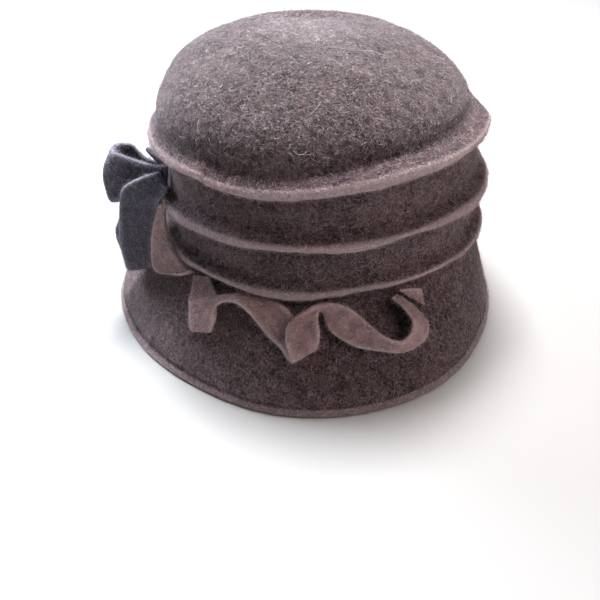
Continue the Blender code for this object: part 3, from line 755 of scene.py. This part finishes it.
def fibre_mesh(place, up, kind, random):
    """Points, faces and shades of wool fibres. Each is a chain of bends that starts along the
    felt, curls round and falls back, swept by a triangle that tapers to a point at the tip.
    A shade is the square of a random share, so that most fibres are dark and a few pale."""
    count, bends = len(place), kind["bends"]
    stride = random.uniform(*kind["length"], (count, 1)) / bends
    side = unit(np.cross(up, random.normal(size=(count, 3))))
    lift = np.radians(random.uniform(*kind["lift"], (count, 1)))
    curl = random.normal(scale=kind["curl"], size=(count, 1))
    heading = side * np.cos(lift) + up * np.sin(lift)
    spine = [place - up * kind["radius"]]
    for bend in range(bends):
        spine.append(spine[-1] + heading * stride)
        wander = random.normal(scale=kind["wander"], size=(count, 3))
        heading = unit(heading + curl * np.cross(up, heading) + wander - up * kind["fall"])
    spine = np.stack(spine, axis=1)
    spine[..., 2] = np.maximum(spine[..., 2], kind["radius"])
    along = unit(np.gradient(spine, axis=1))[:, :-1, None]
    first = unit(np.cross(along, up[:, None, None]))
    second = np.cross(along, first)
    taper = kind["radius"] * np.linspace(1.0, FIBRE_TAPER, bends)[None, :, None, None]
    angle = np.radians([0.0, 120.0, 240.0])[None, None, :, None]
    rings = spine[:, :-1, None] + taper * (first * np.cos(angle) + second * np.sin(angle))
    points = np.concatenate([rings.reshape(count, -1, 3), spine[:, -1:]], axis=1)
    tip = 3 * bends
    faces = [(2, 1, 0)]
    for low in range(0, tip - 3, 3):
        for corner, following in ((0, 1), (1, 2), (2, 0)):
            faces.append((low + corner, low + following, low + 3 + following))
            faces.append((low + corner, low + 3 + following, low + 3 + corner))
    faces += [(tip - 3, tip - 2, tip), (tip - 2, tip - 1, tip), (tip - 1, tip - 3, tip)]
    numbers = np.array(faces)[None] + (np.arange(count) * (tip + 1))[:, None, None]
    shade = np.repeat(random.random(count) ** 2, tip + 1)
    return points.reshape(-1, 3), numbers.reshape(-1, 3), shade


def make_fibres(name, surface, weight, kind, count, material, random):
    """One joined mesh of fibres, scattered over a grid's surface by weight."""
    place, up = scatter(*surface, weight, count, random)
    points, faces, shade = fibre_mesh(place, up, kind, random)
    piece = make_piece(name, points, faces.tolist(), material, {"shade": shade})


def add_node(tree, kind, **inputs):
    """A node with its inputs set: a value, or an output socket to link from."""
    node = tree.nodes.new(kind)
    for name, value in inputs.items():
        socket = node.inputs[name.replace("_", " ")]
        if isinstance(value, bpy.types.NodeSocket):
            tree.links.new(value, socket)
        else:
            socket.default_value = value
    return node


def mix_colours(tree, share, first, second):
    """A blend of two colours by a share."""
    node = tree.nodes.new("ShaderNodeMix")
    node.data_type = "RGBA"
    for index, value in ((0, share), (6, first), (7, second)):
        if isinstance(value, bpy.types.NodeSocket):
            tree.links.new(value, node.inputs[index])
        else:
            node.inputs[index].default_value = value
    return node.outputs[2]


def calculate(tree, operation, first, second, clamp=True):
    """A sum, product or other result of two values, kept between 0 and 1 unless told not to."""
    node = tree.nodes.new("ShaderNodeMath")
    node.operation = operation
    node.use_clamp = clamp
    for index, value in enumerate((first, second)):
        if isinstance(value, bpy.types.NodeSocket):
            tree.links.new(value, node.inputs[index])
        else:
            node.inputs[index].default_value = value
    return node.outputs[0]


def times(tree, first, second):
    """The product of two values."""
    return calculate(tree, "MULTIPLY", first, second)


def plus(tree, first, second):
    """The sum of two values, at most 1."""
    return calculate(tree, "ADD", first, second)


def noise(tree, place, scale, detail):
    """The value of a noise texture at a place."""
    return add_node(tree, "ShaderNodeTexNoise", Vector=place, Scale=scale, Detail=detail).outputs[0]


def ramp(tree, value, low, high):
    """A value stretched so that low becomes 0 and high becomes 1."""
    node = add_node(tree, "ShaderNodeMapRange", Value=value, From_Min=low, From_Max=high)
    return node.outputs[0]


def pattern(tree, place, look):
    """A mask from a noise: its value stretched between the two that the look names."""
    return ramp(tree, noise(tree, place, look["scale"], look["detail"]), look["low"], look["high"])


def strands(tree, place, scale, width):
    """Thin curly lines: where a noise is within a width of its middle value."""
    value = noise(tree, place, scale, STRAND_DETAIL)
    away = calculate(tree, "SUBTRACT", value, 0.5, clamp=False)
    return ramp(tree, calculate(tree, "ABSOLUTE", away, 0.0), width, 0.0)


def matted_wool_group():
    """A node group for matted wool: masks of fibre lines and mottle, and a height for bump."""
    tree = bpy.data.node_groups.new("matted_wool", "ShaderNodeTree")
    tree.interface.new_socket("Fineness", in_out="INPUT", socket_type="NodeSocketFloat")
    for name in ("Fibres", "Mottle", "Height"):
        tree.interface.new_socket(name, in_out="OUTPUT", socket_type="NodeSocketFloat")
    inside = tree.nodes.new("NodeGroupInput")
    outside = tree.nodes.new("NodeGroupOutput")
    where = tree.nodes.new("ShaderNodeTexCoord").outputs["Object"]
    swirl = add_node(tree, "ShaderNodeTexNoise", Vector=where, Scale=SWIRL["scale"],
                     Detail=SWIRL["detail"])
    warp = tree.nodes.new("ShaderNodeVectorMath")
    warp.operation = "MULTIPLY_ADD"
    tree.links.new(swirl.outputs["Color"], warp.inputs[0])
    warp.inputs[1].default_value = (SWIRL["reach"],) * 3
    tree.links.new(where, warp.inputs[2])
    scaled = tree.nodes.new("ShaderNodeVectorMath")
    scaled.operation = "SCALE"
    tree.links.new(warp.outputs[0], scaled.inputs[0])
    tree.links.new(inside.outputs["Fineness"], scaled.inputs["Scale"])
    place = scaled.outputs[0]
    coarse, fine = (strands(tree, place, look["scale"], look["width"]) for look in STRANDS)
    mottle = pattern(tree, place, MOTTLE)
    grain = pattern(tree, place, GRAIN)
    broken = plus(tree, times(tree, grain, LINES_GRAIN), 1.0 - LINES_GRAIN)
    fibres = times(tree, calculate(tree, "MAXIMUM", coarse, fine), broken)
    rough = plus(tree, times(tree, grain, HEIGHT_SHARES["grain"]),
                 times(tree, mottle, HEIGHT_SHARES["mottle"]))
    height = plus(tree, times(tree, fibres, HEIGHT_SHARES["fibres"]), rough)
    tree.links.new(fibres, outside.inputs["Fibres"])
    tree.links.new(mottle, outside.inputs["Mottle"])
    tree.links.new(height, outside.inputs["Height"])
    return tree


def new_material(name):
    """A material with an empty node tree apart from its shader, and the shader."""
    material = bpy.data.materials.new(name)
    material.use_nodes = True
    return material, material.node_tree, material.node_tree.nodes["Principled BSDF"]


def set_shader(shader, **values):
    """Set plain values on a shader's own sockets."""
    for name, value in values.items():
        shader.inputs[name.replace("_", " ")].default_value = value


def felt_material(name, group, fineness, shade_and_mottle, base, worn, pale):
    """Boiled wool felt: painted shade where the nap value is below zero, pale and hairy on ridges
    and cut edges with painted light on the lips, and greyer above as painted cool daylight.
    """
    material, tree, shader = new_material(name)
    matted = add_node(tree, "ShaderNodeGroup")
    matted.node_tree = group
    matted.inputs["Fineness"].default_value = fineness
    nap_and_shade = add_node(tree, "ShaderNodeAttribute")
    nap_and_shade.attribute_name = "nap_and_shade"
    where = tree.nodes.new("ShaderNodeTexCoord").outputs["Object"]
    # Painted shade: the felt darkens where the nap value is below zero, in grooves, under lips,
    # round the dome's lower part and over the brim
    painted_shade = ramp(tree, nap_and_shade.outputs["Fac"], **PAINTED_SHADE_NAP)
    # Pale where the nap value is above zero: rubbed ridges and cut edges, with painted light on the
    # lips' tops
    rubbed_and_lit = ramp(tree, nap_and_shade.outputs["Fac"], **RIDGE_NAP)
    ground = mix_colours(tree, pattern(tree, where, CLOUDS), base, worn)
    ground = mix_colours(tree, times(tree, painted_shade, PAINTED_SHADE_SHARE), ground, shade_and_mottle)
    ground = mix_colours(tree, times(tree, matted.outputs["Mottle"], MOTTLE_SHADE), ground, shade_and_mottle)
    unshaded = calculate(tree, "SUBTRACT", 1.0, times(tree, painted_shade, LINES_LOST_IN_SHADE))
    lines = times(tree, matted.outputs["Fibres"], unshaded)
    lines = times(tree, lines, plus(tree, times(tree, rubbed_and_lit, 1.0 - LINES_EVEN), LINES_EVEN))
    hairy = plus(tree, lines, times(tree, rubbed_and_lit, RIDGE_PALENESS))
    surface = mix_colours(tree, hairy, ground, pale)
    # Painted cool daylight: the colour greys towards the top of the dome
    height = add_node(tree, "ShaderNodeSeparateXYZ", Vector=where).outputs["Z"]
    greyed = add_node(tree, "ShaderNodeMapRange", Value=height, From_Min=COOL_LIGHT_FROM,
                      From_Max=CROWN_HEIGHT, To_Min=1.0, To_Max=COOL_LIGHT_SATURATION)
    cool_lit = add_node(tree, "ShaderNodeHueSaturation", Saturation=greyed.outputs[0], Color=surface)
    tree.links.new(cool_lit.outputs[0], shader.inputs["Base Color"])
    bump = add_node(tree, "ShaderNodeBump", Strength=1.0, Distance=BUMP_DEPTH,
                    Height=matted.outputs["Height"])
    tree.links.new(bump.outputs[0], shader.inputs["Normal"])
    set_shader(shader, Roughness=0.95, Specular_IOR_Level=0.15, Sheen_Weight=0.35,
               Sheen_Roughness=0.45, Sheen_Tint=(0.86, 0.80, 0.82, 1.0))
    return material


def fibre_material(name, dark, light):
    """Single wool fibres, each of its own shade between two colours, with streaks along it."""
    material, tree, shader = new_material(name)
    shade = add_node(tree, "ShaderNodeAttribute")
    shade.attribute_name = "shade"
    where = tree.nodes.new("ShaderNodeTexCoord").outputs["Object"]
    streaks = times(tree, pattern(tree, where, STREAKS), FIBRE_STREAKS)
    share = plus(tree, times(tree, shade.outputs["Fac"], 1.0 - FIBRE_STREAKS), streaks)
    tree.links.new(mix_colours(tree, share, dark, light), shader.inputs["Base Color"])
    set_shader(shader, Roughness=0.7, Sheen_Weight=0.3)
    return material


def make_floor():
    """A pale floor, well past the camera's view."""
    low, high = -FLOOR_REACH, FLOOR_REACH
    corners = [(low, low, 0.0), (high, low, 0.0), (high, high, 0.0), (low, high, 0.0)]
    mesh = bpy.data.meshes.new("pale_floor")
    mesh.from_pydata(corners, [], [(0, 1, 2, 3)])
    material, tree, shader = new_material("pale_floor_paint")
    set_shader(shader, Base_Color=FLOOR_COLOUR, Roughness=0.7)
    mesh.materials.append(material)
    floor = bpy.data.objects.new("pale_floor", mesh)
    bpy.context.scene.collection.objects.link(floor)


def add_light(name, place, size, watts, colour):
    """A soft square area light that faces the hat."""
    lamp = bpy.data.lights.new(name, "AREA")
    lamp.energy = watts
    lamp.size = size
    lamp.color = colour
    light = bpy.data.objects.new(name, lamp)
    light.location = place
    towards = Vector(LIGHT_AIM) - Vector(place)
    light.rotation_euler = towards.to_track_quat("-Z", "Y").to_euler()
    bpy.context.scene.collection.objects.link(light)


def make_lights():
    """A high light over the back, a cool one on the bow's side and a weak warm one opposite,
    in a room that looks brighter than the little light that it gives."""
    for light in LIGHTS:
        add_light(**light)
    world = bpy.data.worlds.new("soft_room")
    world.use_nodes = True
    tree = world.node_tree
    background = tree.nodes["Background"]
    background.inputs["Color"].default_value = ROOM_COLOUR
    seen = tree.nodes.new("ShaderNodeLightPath").outputs["Is Camera Ray"]
    strength = add_node(tree, "ShaderNodeMapRange", Value=seen, To_Min=ROOM_LIGHT,
                        To_Max=ROOM_BRIGHTNESS)
    tree.links.new(strength.outputs[0], background.inputs["Strength"])
    bpy.context.scene.world = world


def make_camera(axis):
    """The camera: it looks at a point near the crown's axis from the photo's angle."""
    turn, pitch, roll = np.radians([CAMERA_TURN, CAMERA_PITCH, CAMERA_ROLL])
    back = np.array([np.sin(turn) * np.cos(pitch), -np.cos(turn) * np.cos(pitch), np.sin(pitch)])
    level = np.array([np.cos(turn), np.sin(turn), 0.0])
    upright = np.cross(back, level)
    right = np.cos(roll) * level + np.sin(roll) * upright
    upwards = np.cross(back, right)
    place = axis + back * CAMERA_DISTANCE - level * AIM_SIDE + [0.0, 0.0, AIM_HEIGHT]
    camera = bpy.data.objects.new("camera", bpy.data.cameras.new("camera"))
    camera.data.lens = LENS
    matrix = Matrix.Identity(4)
    for row in range(3):
        matrix[row][:] = (right[row], upwards[row], back[row], place[row])
    camera.matrix_world = matrix
    bpy.context.scene.collection.objects.link(camera)
    bpy.context.scene.camera = camera


def crown_axis(rim):
    """Where the crown's axis stands: the solid's middle, less the middle of the outline."""
    low, high = (np.array(corner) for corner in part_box("crown_and_brim"))
    middle = (low[:2] + high[:2]) / 2 - (rim.min(axis=0) + rim.max(axis=0)) / 2
    return np.array([*middle, 0.0])


def make_strips(axis, felts):
    """The felt strips, and for each the grid of its points with their nap and normals."""
    surfaces = []
    for strip in STRIPS:
        piece, surface = make_strip(strip, axis, felts[strip["felt"]])
        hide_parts(strip["node"])
        surfaces.append(surface)
    return surfaces


def grow_on_body(points, nap_and_shade, normals, last, wools, random):
    """The body's fibres. Short fuzz grows by the nap, on the dome, the tucks and the brim each
    with its own wool, and long fibres by the height and the nap."""
    # Fewer fibres where shade is painted, more on ridges
    shaded, ridge = np.clip(nap_and_shade, -1.0, 0.0), np.clip(nap_and_shade, 0.0, 1.0)
    fuzzy = FUZZ_EVEN + FUZZ_LOST_IN_SHADE * shaded + FUZZ_ON_RIDGES * ridge ** RIDGE_POWER
    height = points[..., 2]
    outside = (np.arange(len(nap_and_shade))[:, None] <= last) & (height > BARE_EDGE)
    crown_foot = TUCK_HEIGHTS[0] + TUCK_THICKNESS
    higher = LONG_FIBRES_EVEN + np.clip(height / CROWN_HEIGHT, 0.0, 1.0) + ridge ** 2
    weights = {
        "dome": fuzzy * (outside & (height > crown_foot)),
        "tucks": fuzzy * (outside & (height <= crown_foot) & (height > GROOVE_HEIGHT)),
        "brim": fuzzy * (outside & (height <= GROOVE_HEIGHT)),
        "hat": outside * higher,
    }
    for row in BODY_FIBRES:
        make_fibres(row["name"], (points, normals), weights[row["on"]], row["kind"], row["count"],
                    wools[row["wool"]], random)


def grow_on_strips(surfaces, wools, random):
    """The strips' fuzz and curls, shared out by the strips' areas."""
    whole = sum(np.prod(strip["flat"]) for strip in STRIPS)
    for strip, (points, nap_and_shade, normals) in zip(STRIPS, surfaces):
        share = np.prod(strip["flat"]) / whole
        make_fibres(strip["node"] + "_fuzz", (points, normals), STRIP_FUZZ_EVEN + nap_and_shade, FUZZ,
                    int(TRIM_FUZZ_COUNT * share), wools[strip["wool"]], random)
        make_fibres(strip["node"] + "_curls", (points, normals), STRIP_CURLS_EVEN + nap_and_shade, CURLS,
                    int(TRIM_CURL_COUNT * share), wools["pale_wool"], random)


def main():
    """Build the hat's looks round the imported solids."""
    random = np.random.default_rng(SEED)
    axis = crown_axis(outward(TURNS) * rim_radius(TURNS)[:, None])
    make_camera(axis)
    group = matted_wool_group()
    felts = {name: felt_material(name, group, **look) for name, look in FELTS.items()}
    wools = {name: fibre_material(name, **look) for name, look in WOOLS.items()}

    points, nap_and_shade, normals, last = body_surface()
    points = points + axis
    body = make_body(points, nap_and_shade, felts["body_felt"])
    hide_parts("crown_and_brim")
    surfaces = make_strips(axis, felts)
    grow_on_body(points, nap_and_shade, normals, last, wools, random)
    grow_on_strips(surfaces, wools, random)

    make_floor()
    make_lights()
    bpy.context.scene.view_settings.view_transform = "Standard"


main()
